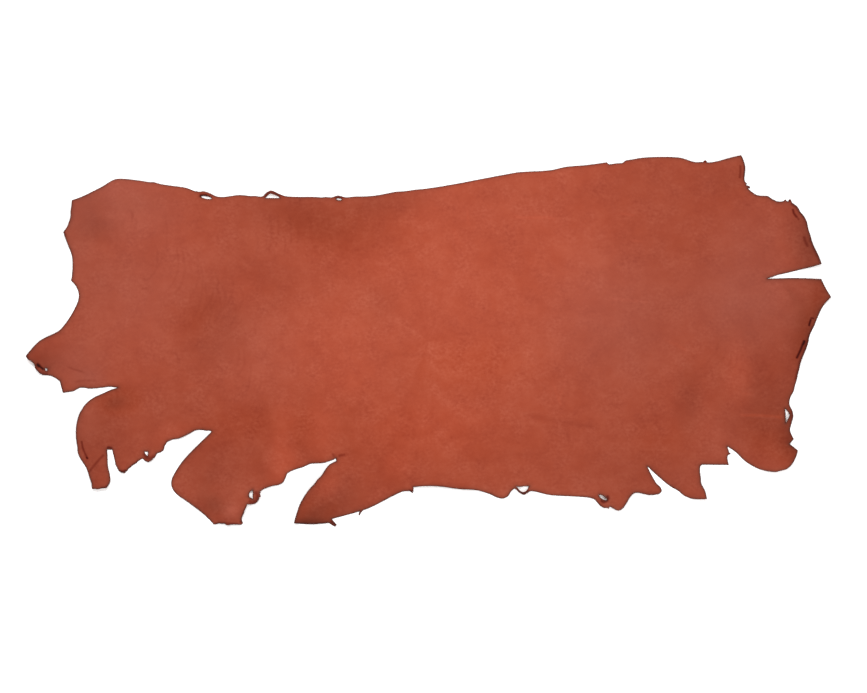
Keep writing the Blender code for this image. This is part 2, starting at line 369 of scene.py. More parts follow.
# Loops that toggles pulled up, and tips that curl: the same columns.
CURLS = [
    ("first backbone loop", -668, 444, 60, 38, -8, 6.5),
    ("second backbone loop", -468, 445, 66, 40, 0, 7.5),
    ("third backbone loop", -270, 434, 36, 26, 0, 3.5),
    ("cheek loop", -1167, -90, 46, 32, -40, 3.5),
    ("foreleg loop", -832, -348, 52, 42, 35, 6.5),
    ("brisket loop", -516, -464, 52, 50, 90, 7.0),
    ("belly loop", 283, -448, 60, 36, 0, 7.0),
    ("flank loop", 525, -480, 52, 40, -40, 6.5),
    ("hind loop", 1078, -226, 38, 60, 0, 7.0),
    ("foreleg curl", -920, -388, 50, 36, 20, 4.0),
    ("shank corner", -968, -438, 34, 30, 30, 3.0),
    ("elbow tip", -400, -545, 60, 40, 60, 3.5),
    ("flank curl", 832, -470, 50, 40, 100, 4.0),
    ("hip tip", 1203, 128, 60, 44, 60, 4.0),
    ("slit corner", 1170, 235, 60, 50, 60, 3.5),
    ("tail tip", 932, 550, 50, 40, 60, 3.0),
    ("neck point", -1092, 326, 50, 50, 0, 3.0),
]

# Folds and creases: name, points, half width, rise (down if negative), and how dark it is painted, as
# painted shade in the fold (paler if negative, as a painted highlight along the ridge).
STROKES = [
    ("shank crease", [(-1040, -298), (-1037, -319), (-1031, -335), (-1023, -352)], 5, -0.9, 0.6),
    ("shank fold", [(-1022, -398), (-1008, -380), (-996, -366), (-984, -352), (-972, -340)], 6, -1.1, 0.42),
    ("shank swell", [(-1002, -396), (-990, -380), (-976, -362)], 12, 1.4, 0),
    ("knee fold", [(-1050, -255), (-1035, -282), (-1012, -305)], 22, 1.2, 0),
    ("notch lip", [(-966, -321), (-958, -319), (-947, -323)], 6, 0.5, 0.8),
    ("cheek line", [(-1086, -76), (-1062, -86), (-1030, -95)], 5, -0.6, 0.2),
    ("jaw scratch", [(-1066, -124), (-1030, -118), (-984, -120)], 6, -0.5, 0.16),
    ("cheek trough", [(-1128, 6), (-1146, -26), (-1160, -48)], 16, -1.2, 0.06),
    ("jaw ridge", [(-1098, -128), (-1060, -116), (-1010, -118), (-965, -126)], 16, 1.2, 0),
    ("brisket pleat 1", [(-540, -250), (-536, -310), (-540, -372)], 24, -1.2, 0.06),
    ("brisket pleat 2", [(-478, -246), (-475, -300), (-482, -350)], 20, -1.2, 0.06),
    ("brisket pleat 3", [(-446, -262), (-444, -325), (-450, -372)], 16, 1.0, 0),
    ("brisket pleat 4", [(-414, -250), (-414, -300), (-418, -344)], 16, -1.1, 0.06),
    ("brisket dimple", [(-612, -523), (-590, -510), (-568, -496)], 20, 2.0, 0),
    ("brisket hem", [(-640, -538), (-600, -536), (-560, -540)], 14, -1.0, 0.1),
    ("elbow trough", [(-262, -330), (-235, -336), (-204, -352)], 20, -0.9, 0.06),
    ("elbow pucker 1", [(-281, -350), (-286, -342), (-290, -334)], 6, -1.0, 0.4),
    ("elbow pucker 2", [(-272, -346), (-262, -343), (-248, -341)], 7, -1.0, 0.45),
    ("elbow fold", [(-250, -372), (-290, -412), (-330, -458), (-370, -507)], 26, 1.0, 0),
    ("belly ridge", [(-190, -470), (-145, -453), (-95, -440)], 18, 1.2, 0),
    ("loin line", [(268, -221), (330, -228), (392, -242), (452, -254), (516, -259)], 13, -1.3, 0.1),
    ("belly line", [(226, -336), (282, -343), (338, -341)], 14, -1.2, 0.08),
    ("belly dimple", [(62, -440), (70, -424), (72, -408)], 12, 1.0, 0),
    ("flank ridge", [(560, -188), (592, -182), (626, -186)], 14, 1.1, 0),
    ("flank pucker", [(648, -395), (640, -376), (630, -360)], 9, 1.2, 0),
    ("back line", [(-118, -40), (-55, -43), (8, -43)], 9, -0.7, 0.06),
    ("stifle ridge", [(930, -226), (980, -222), (1030, -224), (1062, -231)], 12, 1.8, 0),
    ("stifle trough", [(1034, -264), (1080, -270), (1124, -262)], 20, -0.9, 0.1),
    ("hock fold", [(1046, -299), (1066, -298), (1092, -290)], 14, -1.2, 0.1),
    ("slit ridge 1", [(1008, 156), (1022, 132), (1044, 104)], 13, 1.8, 0),
    ("slit ridge 2", [(1056, 170), (1076, 140), (1102, 104)], 15, 2.2, 0),
    ("slit trough", [(1026, 108), (1048, 80), (1076, 48)], 18, -0.9, 0.06),
    ("hip trough", [(1092, 160), (1118, 128), (1140, 92)], 16, -0.9, 0.08),
    ("rump ridge", [(1056, 300), (1074, 268), (1086, 232)], 22, 1.4, 0),
    ("rump crease", [(1124, 315), (1129, 298), (1137, 280)], 7.0, -1.0, 0.46),
    ("tail crease", [(935, 528), (935, 508), (933, 486)], 6, -0.9, 0.46),
    ("neck mark 1", [(-892, 396), (-888, 376), (-890, 352)], 7, -0.6, 0.14),
    ("neck mark 2", [(-882, 372), (-876, 356), (-880, 336)], 7, -0.5, 0.12),
    ("neck dash 1", [(-862, 186), (-848, 184), (-836, 187)], 6, -0.5, 0.12),
    ("neck dash 2", [(-866, 160), (-850, 156), (-838, 157)], 6, -0.5, 0.12),
    ("loin streak 1", [(246, 374), (290, 369), (352, 370), (392, 364)], 8, 0.6, -0.09),
    ("loin streak 2", [(560, 383), (592, 380), (626, 376)], 7, 0.6, -0.08),
    ("loin streak 3", [(536, 128), (600, 121), (668, 116)], 8, 0.5, -0.06),
    ("loin streak 4", [(598, 301), (622, 300), (650, 297)], 6, 0.4, -0.06),
    ("loin dimple", [(276, 440), (292, 436), (306, 438)], 13, -0.7, 0.06),
    ("back pull", [(118, 408), (117, 374), (121, 340)], 6, 0.5, -0.06),
    ("back rub", [(74, 344), (84, 310), (94, 276)], 9, 0.4, -0.05),
    ("hip rub", [(708, 4), (744, -12), (784, -34)], 8, 0.5, -0.07),
    ("belly fork 1", [(374, -122), (384, -160), (402, -204)], 6, 0.5, -0.06),
    ("belly fork 2", [(410, -124), (398, -156), (386, -186)], 5, 0.4, -0.05),
    ("rib lines 1", [(-262, -184), (-252, -202), (-244, -224)], 5, 0.4, -0.06),
    ("rib lines 2", [(-238, -180), (-243, -200), (-240, -222)], 5, 0.4, -0.06),
    ("blade pull 1", [(-640, 156), (-655, 120), (-680, 78)], 6, -0.5, 0.1),
    ("blade pull 2", [(-598, 142), (-592, 120), (-586, 96)], 5, 0.4, -0.07),
    ("neck ring", [(-786, -30), (-762, -38), (-748, -56), (-752, -84)], 7, -0.5, 0.09),
    ("brisket rise", [(-690, -124), (-716, -138), (-748, -160)], 12, 0.8, -0.05),
    ("hind rub", [(926, -221), (976, -223), (1030, -226), (1072, -230)], 8, 0.6, -0.14),
    ("hind rub 2", [(932, -158), (956, -160), (984, -158)], 7, 0.4, -0.06),
]

# Painted shade where the loops stand up and the torn ends curl, with some dirt and dye there: name,
# points, half width, how dark.
SHADE_AND_STAINS = [
    ("first loop", [(-688, 436), (-676, 438), (-662, 436), (-650, 428)], 7, 0.6),
    ("second loop", [(-494, 433), (-482, 442), (-469, 447), (-456, 442), (-443, 433)], 8, 0.55),
    ("third loop", [(-282, 431), (-270, 433), (-257, 428)], 7, 0.6),
    ("cheek strand", [(-1180, -72), (-1174, -90), (-1158, -99), (-1140, -101)], 8, 0.5),
    ("foreleg loop", [(-856, -336), (-846, -350), (-832, -352), (-820, -342)], 9, 0.5),
    ("brisket loop", [(-520, -449), (-512, -462), (-515, -478), (-528, -486), (-541, -478)], 9, 0.55),
    ("belly loop", [(262, -446), (272, -454), (284, -458), (296, -455), (304, -447)], 8, 0.9),
    ("flank loop", [(514, -477), (524, -482), (533, -479), (538, -470), (534, -461)], 7, 0.75),
    ("hind loop", [(1082, -194), (1089, -207), (1091, -222), (1088, -238), (1082, -252)], 9, 0.4),
    ("foreleg end", [(-928, -391), (-916, -392), (-903, -388)], 7, 0.9),
    ("foreleg tear", [(-903, -388), (-889, -375), (-868, -358)], 6, 0.6),
    ("foreleg hem", [(-820, -345), (-805, -335), (-794, -328)], 5, 0.5),
    ("shank end", [(-985, -442), (-969, -440), (-961, -433)], 6, 0.6),
    ("brisket end", [(-642, -548), (-610, -546), (-570, -549)], 6, 0.5),
    ("brisket side", [(-561, -545), (-556, -520), (-545, -492)], 5, 0.5),
    ("brisket corner", [(-563, -538), (-561, -546)], 7, 0.8),
    ("elbow end", [(-403, -545), (-380, -548), (-350, -549), (-300, -545)], 6, 0.5),
    ("elbow shred", [(-295, -540), (-286, -546), (-277, -554)], 6, 0.7),
    ("belly shred", [(-206, -511), (-210, -519)], 5, 0.8),
    ("belly hook", [(-62, -449), (-52, -450), (-46, -452)], 6, 0.8),
    ("rump shred", [(955, 463), (962, 461)], 6, 0.8),
    ("rump nub", [(1080, 417), (1084, 424)], 6, 0.7),
    ("rump rim", [(1086, 414), (1104, 400), (1118, 382), (1132, 362), (1142, 330)], 7, 0.5),
    ("rump foot", [(1144, 312), (1156, 280), (1168, 254), (1180, 228)], 9, 0.5),
    ("tail nub", [(826, 537), (835, 538)], 5, 0.7),
    ("tail rim", [(940, 552), (947, 535), (948, 512), (946, 490)], 6, 0.5),
    ("hip rim", [(1100, -118), (1114, -62), (1134, -9), (1142, 17), (1155, 47)], 6, 0.5),
    ("neck point", [(-1090, 338), (-1094, 326), (-1088, 312)], 8, 0.6),
    ("cheek tip", [(-1200, -36), (-1206, -45), (-1196, -54)], 8, 0.6),
]

# Slits that toggles cut and that have closed again, drawn dark as painted shadow in the closed slit:
# name, points, half width, how dark.
SLITS = [
    ("rump slit", [(1092, 398), (1095, 383), (1105, 369)], 5.5, 0.74),
    ("rump slit foot", [(1103, 373), (1112, 361)], 5.0, 0.45),
    ("rump slit lip", [(1112, 390), (1120, 380), (1131, 366)], 4.0, 0.85),
    ("hip slit", [(1147.5, 67), (1144, 56), (1140.5, 43)], 5.0, 1.02),
    ("hip slit head", [(1144, 68), (1150, 69), (1158, 66)], 3.8, 0.85),
    ("thigh slit", [(1128, 4), (1116, -27), (1103, -54)], 5.8, 1.02),
    ("thigh slit head", [(1129, 4), (1126, -5), (1122, -13)], 7.0, 1.15),
    ("cheek slit", [(-1175, -67), (-1168, -74), (-1162, -79)], 8.0, 1.25),
    ("cheek slit foot", [(-1166, -75), (-1159, -81), (-1152, -87)], 5.5, 1.15),
    ("first loop slit", [(-687, 433), (-677, 436.5), (-663, 438)], 5.5, 1.0),
    ("first loop slit end", [(-688, 433), (-682, 435), (-677, 436)], 6.5, 1.12),
    ("shank crease end", [(-1027, -345), (-1024, -351), (-1021, -356)], 5.0, 1.05),
]
SLIT_DEPTH = -1.0

# Growth wrinkles, the fine lines across a neck: x, y, direction, length, how many, pitch, bow, rise.
WRINKLES = [
    (-628, 118, 84, 165, 9, 15, 16, -0.20),
    (-455, 300, 88, 130, 7, 19, 8, -0.16),
    (-760, 250, 80, 210, 5, 34, 22, -0.08),
    (-560, -90, 76, 150, 5, 28, 14, -0.09),
    (900, -60, 62, 120, 5, 24, 12, -0.08),
    (1000, -140, 40, 90, 4, 18, 8, -0.10),
]


# Each wrinkle is also drawn a little darker, as painted shade in its trough.
WRINKLE_HALF_WIDTH, WRINKLE_SHADE = 5.5, 0.06


def growth_wrinkles():
    """The wavering lines of each group of wrinkles, as strokes."""
    chance = random.Random(7)
    wrinkles = []
    for x, y, direction, length, count, pitch, bow, rise in WRINKLES:
        ahead, across = axes(direction)
        for k in range(count):
            centre = (k - (count - 1) / 2) * pitch + chance.uniform(-0.3, 0.3) * pitch
            half = length / 2 * chance.uniform(0.45, 1.0)
            slide = chance.uniform(-0.25, 0.25) * length
            points = []
            for t in (-1, -0.5, 0, 0.5, 1):
                v = centre + bow * (t * t - 0.5) + chance.uniform(-2.5, 2.5)
                points.append((x, y) + (slide + t * half) * ahead + v * across)
            height = rise * chance.uniform(0.6, 1.2)
            wrinkles.append(("growth wrinkle", points, WRINKLE_HALF_WIDTH, height, WRINKLE_SHADE))
    return wrinkles


strokes = STROKES + growth_wrinkles()
strokes += [(name, path, half_width, SLIT_DEPTH, dark) for name, path, half_width, dark in SLITS]
strokes += [(name, path, half_width, 0, dark) for name, path, half_width, dark in SHADE_AND_STAINS]


def swelling(x, y, rows):
    """The height in mm of the oval swells at points x, y."""
    height = np.zeros(len(x))
    for _, centre_x, centre_y, length, width, direction, rise in rows:
        along, across = axes(direction)
        dx, dy = x - centre_x, y - centre_y
        u = (dx * along[0] + dy * along[1]) / (length / 2)
        v = (dx * across[0] + dy * across[1]) / (width / 2)
        height += rise * np.clip(1 - u * u - v * v, 0, None) ** 2
    return height


END_SHARE, END_LEVEL = 0.45, 0.12  # a stroke fades over this share of its length at most, to this level
DARK, DARK_FADING, FADING = 0.4, 0.7, 3  # strokes darker than DARK end sooner; fadings are in half widths


def along_stroke(x, y, path, half_width, fading):
    """1 down the middle of a stroke, falling softly to 0 at its sides and, over fading mm, at its ends."""
    path = np.array(path, float)
    before = lengths_along(path)
    nearest, where = np.full(len(x), np.inf), np.zeros(len(x))
    for start, end, so_far, length in zip(path[:-1], path[1:], before, np.diff(before)):
        run = end - start
        t = np.clip(((x - start[0]) * run[0] + (y - start[1]) * run[1]) / (run @ run), 0, 1)
        away = np.hypot(x - start[0] - t * run[0], y - start[1] - t * run[1])
        where = np.where(away < nearest, so_far + t * length, where)
        nearest = np.minimum(away, nearest)
    from_end = np.minimum(where, before[-1] - where)
    ends = np.clip(from_end / min(before[-1] * END_SHARE, fading) + END_LEVEL, 0, 1)
    return np.clip(1 - (nearest / half_width) ** 2, 0, 1) ** 2 * ends * ends * (3 - 2 * ends)


def creasing(x, y):
    """How far folds raise the grain side, in mm, and how much painted shade and stain (or painted
    highlight, below 0) lies there.
    """
    rise, dark = np.zeros(len(x)), np.zeros(len(x))
    for _, path, half_width, height, depth in strokes:
        low, high = np.min(path, axis=0) - half_width, np.max(path, axis=0) + half_width
        near = (x > low[0]) & (x < high[0]) & (y > low[1]) & (y < high[1])
        fading = (DARK_FADING if depth > DARK else FADING) * half_width
        part = along_stroke(x[near], y[near], path, half_width, fading)
        rise[near] += height * part
        dark[near] = np.maximum(dark[near], depth * part) if depth >= 0 else dark[near] + depth * part
    return rise, dark


# Loose skin cockles, and its edge lifts into a wavy lip, less so along the knife's cut down the backbone.
COCKLES = [(150, 2.5, 0.9), (62, 7.5, 0.5)]  # their size in mm, a seed, and their rise in mm
LIP_WAVES = [(85, 13.5, 1.0)]
COCKLE_BIAS, LIP_BIAS = -0.1, 0.1  # above 0 more than half of the skin or the lip is lifted, below 0 less
LIP_WIDTH, LIP_RISE, KNIFE_LIP_RISE = 26, 4.5, 0.6
KNIFE_CUT_Y, KNIFE_CUT_FRONT, KNIFE_CUT_BACK = 395, -1060, 890


def underside(x, y, edge_distance):
    """How high the flesh side lies above the surface under it, in mm."""
    cockle = np.clip(soft_noise(x, y, COCKLES) + COCKLE_BIAS, 0, None)
    lip = np.clip(soft_noise(x, y, LIP_WAVES) + LIP_BIAS, 0, None)
    lip *= np.clip(1 - edge_distance / LIP_WIDTH, 0, 1) ** 2
    knife_cut = (y > KNIFE_CUT_Y) & (x > KNIFE_CUT_FRONT) & (x < KNIFE_CUT_BACK)
    lip *= np.where(knife_cut, KNIFE_LIP_RISE, LIP_RISE)
    return swelling(x, y, SWELLS + CURLS) + cockle + lip


# ============================================================
# The sheet. Vegetable-tanned leather split to 2 mm: one closed skin, with the smooth grain side
# above, the napped flesh side below, and the cut edge between them, whose grain corner the
# tannery's tumbling has rounded a little.
# ============================================================

THICKNESS = 2.0
THINNING, THINNING_BAND = 0.35, 30  # mm that a hide is thinner at its edge, and how far in that reaches
DEEPEST = 1.0  # mm, how deep a crease can be before its leather bends instead of thinning

# The rounding of the edge, from the grain side down: how far in, how far below the grain side.
EDGE_SHAPE = [(2.2, 0.0), (0.75, 0.06), (0.2, 0.35), (0.0, 0.95)]
EDGE_FOOT = 0.45  # above the flesh side
FLESH_INSET = 0.45
LEAST_FACING = 0.2  # how squarely two stretches of edge must face each other to share the room between
SHARE_OF_GAP = 0.36  # how much of that room each may take
FOLDED = 0.3  # a step that keeps less than this share of itself in the inset line has folded
TRIES, EASING = 12, 0.6  # how often insets that fold or cross are eased, and to what share each time

# The points of the sheet, in mm: how far apart they are near edges and folds, which is twice as far
# elsewhere, how far they keep from points already there, and how far "near" an edge or a fold reaches.
GRAIN_STEP, GRAIN_GAP, EDGE_BAND, FOLD_BAND = 4.6, 2.7, 75, 16
FLESH_STEP, FLESH_GAP, FLESH_BAND = 8.0, 4.5, 26
STROKE_STEP, STROKE_GAP, WIDEST_STROKE = 3.6, 1.5, 9  # along strokes of this half width at most
CURL_STEP, CURL_GAP = 4, 3.0  # under the curls, where the flesh side bends as the grain side does
GRAIN_CELL, FLESH_CELL = 6.0, 12.0  # the squares in which near points are looked for
INSIDE, SAME_POINT = 1, 1e-5  # the triangles that are kept, and how near two points must be to be one


def tree_of(points):
    """A search tree of points, numbered in order."""
    tree = kdtree.KDTree(len(points))
    for number, (x, y) in enumerate(points):
        tree.insert((x, y, 0), number)
    tree.balance()
    return tree


def crossed(lines):
    """The numbers of the points, through all the lines, whose step to the next point crosses another."""
    starts = np.vstack(lines)
    ends = np.vstack([np.roll(line, -1, 0) for line in lines])
    middles = (starts + ends) / 2
    reach = np.linalg.norm(ends - starts, axis=1).max()
    tree = tree_of(middles)
    found = set()
    for i, (x, y) in enumerate(middles):
        for _, j, _ in tree.find_range((x, y, 0), reach):
            neighbours = (starts[i] == ends[j]).all() or (ends[i] == starts[j]).all()
            if j > i and not neighbours:
                if geometry.intersect_line_line_2d(starts[i], ends[i], starts[j], ends[j]):
                    found.update((i, j))
    return sorted(found)


def room_inside(lines):
    """For each line, the share of a full inset that fits at each point without crossing the far side."""
    full = EDGE_SHAPE[0][0]
    everything = np.vstack(lines)
    direction = unit(np.vstack([inward(line) for line in lines]))
    tree = tree_of(everything)
    room = np.ones(len(everything))
    for i, (x, y) in enumerate(everything):
        for _, j, away in tree.find_range((x, y, 0), 3 * full):
            if direction[i] @ direction[j] < 0 and away > 0:
                if (everything[j] - everything[i]) @ direction[i] / away > LEAST_FACING:
                    room[i] = min(room[i], SHARE_OF_GAP * away / full)
    # The rooms are views of room, so that what eases one eases the other.
    rooms = np.split(room, np.cumsum([len(line) for line in lines])[:-1])
    for line, share in zip(lines, rooms):
        run = steps(line)
        for _ in range(TRIES):
            folded = (steps(moved_in(line, share * full)) * run).sum(1) < FOLDED * (run * run).sum(1)
            share[folded | np.roll(folded, 1)] *= EASING
    for _ in range(TRIES):
        found = crossed([moved_in(line, share * full) for line, share in zip(lines, rooms)])
        if not found:
            break
        room[found] *= EASING
    return rooms


rooms = room_inside(edges)
edge_tree = tree_of(np.vstack(edges))


def from_edge(x, y):
    """The distance in mm from each point to the nearest edge."""
    return np.array([edge_tree.find((a, b, 0))[2] for a, b in zip(x, y)])


def inset(depth):
    """Every edge line moved into the leather, less far where there is no room for it."""
    return [moved_in(line, share * depth) for line, share in zip(edges, rooms)]


def spans(lines, y):
    """The stretches of a level line at y that lie inside the leather."""
    cuts = []
    for line in lines:
        after = np.roll(line, -1, 0)
        crossing = (line[:, 1] > y) != (after[:, 1] > y)
        a, b = line[crossing], after[crossing]
        cuts.extend(a[:, 0] + (y - a[:, 1]) * (b[:, 0] - a[:, 0]) / (b[:, 1] - a[:, 1]))
    cuts.sort()
    return list(zip(cuts[::2], cuts[1::2]))


def within(x, stretches, margin=0):
    """Whether x lies in one of the stretches, by at least the margin."""
    return any(left + margin < x < right - margin for left, right in stretches)


def lattice(lines, step):
    """Points in staggered rows inside the lines; those with the last value True are twice as far apart."""
    low, high = lines[0].min(0), lines[0].max(0)
    row_step = step * math.sqrt(3) / 2
    for row in range(math.ceil((high[1] - low[1]) / row_step)):
        y = low[1] + row * row_step
        shift = row % 2 / 2
        for start, end in spans(lines, y):
            first = math.ceil((start - low[0]) / step - shift)
            last = math.floor((end - low[0]) / step - shift)
            for column in range(first, last + 1):
                wide = row % 2 == 0 and (column + row // 2) % 2 == 0
                yield low[0] + (column + shift) * step, y, wide


class Spread:
    """Points inside closed lines that keep their distance from each other and from the lines' own."""

    def __init__(self, lines, cell):
        self.cell, self.cells, self.points = cell, {}, []
        for x, y in np.vstack(lines):
            self.add(x, y, 0)
        self.on_lines = len(self.points)

    def add(self, x, y, clear):
        column, row = int(x // self.cell), int(y // self.cell)
        for i in (column - 1, column, column + 1):
            for j in (row - 1, row, row + 1):
                for other_x, other_y in self.cells.get((i, j), ()):
                    if (x - other_x) ** 2 + (y - other_y) ** 2 < clear * clear:
                        return
        self.cells.setdefault((column, row), []).append((x, y))
        self.points.append((x, y))

    def inside(self):
        return self.points[self.on_lines :]


def stroke_points():
    """Rows of points along each narrow fold or slit, down its middle and its sides."""
    for _, path, half_width, _, _ in strokes:
        if half_width <= WIDEST_STROKE:
            path = np.array(path, float)
            length = lengths_along(path)[-1]
            spine = places_on(path, np.linspace(0, length, max(2, round(length / STROKE_STEP) + 1)))
            side = left_of(unit(np.gradient(spine, axis=0))) * half_width
            for share in (0, 0.5, -0.5, 1, -1):
                yield from spine + side * share


def grain_points(lines):
    """Points for the grain side: along folds, then close together near edges and folds, wider elsewhere."""
    spread = Spread(lines, GRAIN_CELL)
    level_spans = {}
    for x, y in stroke_points():
        level = round(y, 1)
        if level not in level_spans:
            level_spans[level] = spans(lines, level)
        if within(x, level_spans[level]):
            spread.add(x, y, STROKE_GAP)
    folds = tree_of(spread.inside())
    for x, y, wide in lattice(lines, GRAIN_STEP):
        spot = (x, y, 0)
        if wide or edge_tree.find(spot)[2] < EDGE_BAND or folds.find(spot)[2] < FOLD_BAND:
            spread.add(x, y, GRAIN_GAP)
    return spread.inside()


def flesh_points(lines):
    """Points for the flesh side, wider apart, for its nap hides what the grain side shows."""
    spread = Spread(lines, FLESH_CELL)
    for _, x, y, length, width, _, _ in CURLS:
        reach = max(length, width) / 2
        rows = round(2 * reach / CURL_STEP)
        for column, row in np.ndindex(rows, rows):
            spot = (x - reach + CURL_STEP * column, y - reach + CURL_STEP * row)
            if within(spot[0], spans(lines, spot[1]), 1):
                spread.add(*spot, CURL_GAP)
    for x, y, wide in lattice(lines, FLESH_STEP):
        if wide or edge_tree.find((x, y, 0))[2] < FLESH_BAND:
            spread.add(x, y, FLESH_GAP)
    return spread.inside()


def border_steps(lines):
    """The number of each point and of the next along its line, counted through all the lines."""
    pairs = []
    for line in lines:
        start, count = len(pairs), len(line)
        pairs += [(start + i, start + (i + 1) % count) for i in range(count)]
    return pairs


def filled(lines, extra):
    """Triangles that fill the space between closed lines, on their points and the extra ones inside."""
    borders = border_steps(lines)
    points = [Vector(p) for p in (*np.vstack(lines), *extra)]
    made, _, faces, origin, _, _ = geometry.delaunay_2d_cdt(points, borders, [], INSIDE, SAME_POINT)
    if len(made) != len(points):
        raise RuntimeError(f"edge lines cross: {len(made)} points came from {len(points)}")
    triangles = []
    for face in faces:
        a, b, c = (origin[i][0] for i in face)
        if max(a, b, c) < len(borders):
            middle = (points[a] + points[b] + points[c]) / 3
            if not within(middle.x, spans(lines, middle.y)):
                continue
        if (points[b] - points[a]).cross(points[c] - points[a]) < 0:
            b, c = c, b
        triangles.append((a, b, c))
    return np.array([p[:] for p in points]), triangles


def grain_height(x, y, edge_distance):
    """The height of the grain side in mm; hides run thinner towards a torn edge."""
    crease, _ = creasing(x, y)
    thinning = THINNING * np.clip(1 - edge_distance / THINNING_BAND, 0, 1) ** 2
    return underside(x, y, edge_distance) + THICKNESS - thinning + np.maximum(crease, -DEEPEST)


def make_sheet():
    """The closed skin of the hide, with its materials numbered: 0 grain, 1 cut edge, 2 flesh."""
    grain_lines, flesh_lines = inset(EDGE_SHAPE[0][0]), inset(FLESH_INSET)
    grain, grain_faces = filled(grain_lines, grain_points(grain_lines))
    flesh, flesh_faces = filled(flesh_lines, flesh_points(flesh_lines))
    rim = np.vstack(edges)
    at_edge = np.zeros(len(rim))
    grain_away, flesh_away = from_edge(*grain.T), from_edge(*flesh.T)
    top, bottom = grain_height(*rim.T, at_edge), underside(*rim.T, at_edge)

    # The layers of points from the grain side down to the flesh side, each with its distance from the edge.
    layers = [(grain, grain_height(*grain.T, grain_away), grain_away)]
    for depth, drop in EDGE_SHAPE[1:]:
        layers.append((np.vstack(inset(depth)), top - drop * (top - bottom) / THICKNESS, at_edge + depth))
    layers.append((rim, bottom + EDGE_FOOT * (top - bottom) / THICKNESS, at_edge))
    layers.append((flesh, underside(*flesh.T, flesh_away), flesh_away))
    points = np.vstack([np.column_stack([flat, height]) for flat, height, _ in layers])

    starts = np.cumsum([0] + [len(flat) for flat, _, _ in layers]).tolist()
    faces, kinds = list(grain_faces), [0] * len(grain_faces)
    for band, (upper, lower) in enumerate(zip(starts[:-2], starts[1:-1])):
        faces += [(upper + b, upper + a, lower + a, lower + b) for a, b in border_steps(edges)]
        kinds += [0 if band < 2 else 1] * len(rim)
    faces += [(starts[-2] + a, starts[-2] + c, starts[-2] + b) for a, b, c in flesh_faces]
    kinds += [2] * len(flesh_faces)

    mesh = bpy.data.meshes.new("hide_leather")
    mesh.from_pydata((points * MM).tolist(), [], faces)
    mesh.polygons.foreach_set("material_index", kinds)
    mesh.shade_smooth()
    mesh.validate()
    sheet = bpy.data.objects.new("hide_leather", mesh)
    bpy.context.scene.collection.objects.link(sheet)
    return sheet, points, np.concatenate([away for _, _, away in layers])


hide, hide_points, edge_distance = make_sheet()


# ============================================================
# How the dye took, with painted light in it. Drum dye soaks in evenly in the firm middle of the hide,
# which is drawn brightest, also as painted light for the soft boxes' light that falls off towards the ends.
# The legs, belly and tips are darker and duller, where the dye sat in the loose fibres and, where their
# edges curl, as painted shade. Neck and rump, where the grain was stretched on the frame, are rosier,
# partly as a painted sheen. These are values on the mesh.
# ============================================================

# Darker and brighter places, dye and painted light together (the shine rows are painted highlights):
# where, x, y, length, width, direction, by what share.
TONE = 0.93
TONE_AND_LIGHT_PATCHES = [
    ("firm back", 60, 150, 1300, 1500, 0, 0.25),
    ("upper neck", -800, 300, 640, 440, -20, 0.08),
    ("neck", -860, 20, 560, 500, 0, 0.09),
    ("withers", -300, 370, 640, 280, -12, -0.20),
    ("backbone edge", -110, 430, 360, 170, 3, -0.17),
    ("croup edge", 430, 520, 500, 200, 5, 0.06),
    ("shoulder", -680, 50, 320, 360, 20, -0.06),
    ("front flank", -370, -30, 640, 480, 10, 0.14),
    ("belly middle", -20, -260, 600, 300, 0, 0.10),
    ("foreleg", -1000, -300, 300, 420, 0, -0.12),
    ("slit root", -930, -170, 180, 120, 0, -0.12),
    ("brisket", -640, -390, 340, 300, 30, -0.08),
    ("brisket hem", -660, -500, 160, 120, 0, -0.12),
    ("armpit", -430, -380, 150, 260, 10, 0.20),
    ("elbow", -300, -500, 320, 240, 30, -0.20),
    ("elbow tip", -375, -545, 220, 110, 20, -0.22),
    ("neck edge", -1060, 380, 260, 280, 0, -0.12),
    ("cheek end", -1170, -70, 200, 180, 0, -0.20),
    ("loin", 480, 300, 600, 700, 0, 0.07),
    ("tail", 900, 500, 260, 200, 0, -0.06),
    ("rump rim", 1170, 300, 240, 440, 20, -0.34),
    ("hip rim", 1210, 30, 280, 460, -10, -0.42),
    ("thigh", 1040, -230, 420, 340, 0, -0.12),
    ("hock", 1120, -300, 200, 220, 0, -0.26),
    ("belly end", 680, -420, 600, 420, 0, -0.09),
    ("rump side", 1010, -130, 460, 760, 0, -0.09),
    ("elbow back", -320, -260, 160, 280, 0, 0.14),
    ("elbow hem", -350, -550, 220, 60, 2, -0.20),
    ("slit foot", -940, -186, 90, 60, 20, -0.10),
    ("brisket band", -660, -420, 60, 240, -30, -0.05),
    ("brisket shine", -590, -510, 70, 50, 30, 0.10),
    ("front belly", -590, -130, 320, 240, 0, 0.05),
    ("armpit shine", -430, -250, 130, 260, 0, 0.12),
    ("back of elbow", -230, -120, 300, 220, 0, 0.07),
    ("elbow shine", -300, -440, 120, 110, 40, 0.18),
    ("belly shine", -95, -370, 130, 130, 0, 0.10),
    ("brisket hem", -645, -490, 90, 90, 0, -0.10),
    ("foreleg back", -770, -280, 160, 110, 20, 0.10),
    ("neck corner", -975, 335, 190, 140, 0, -0.11),
    ("back", -145, 100, 180, 220, 0, -0.08),
    ("shoulder blade", -550, 150, 220, 180, 0, 0.07),
    ("hind rim", 1115, 40, 160, 760, -4, -0.10),
    ("hip shine", 925, -100, 130, 320, 0, 0.14),
    ("flank fold", 780, -180, 130, 340, 0, -0.11),
]
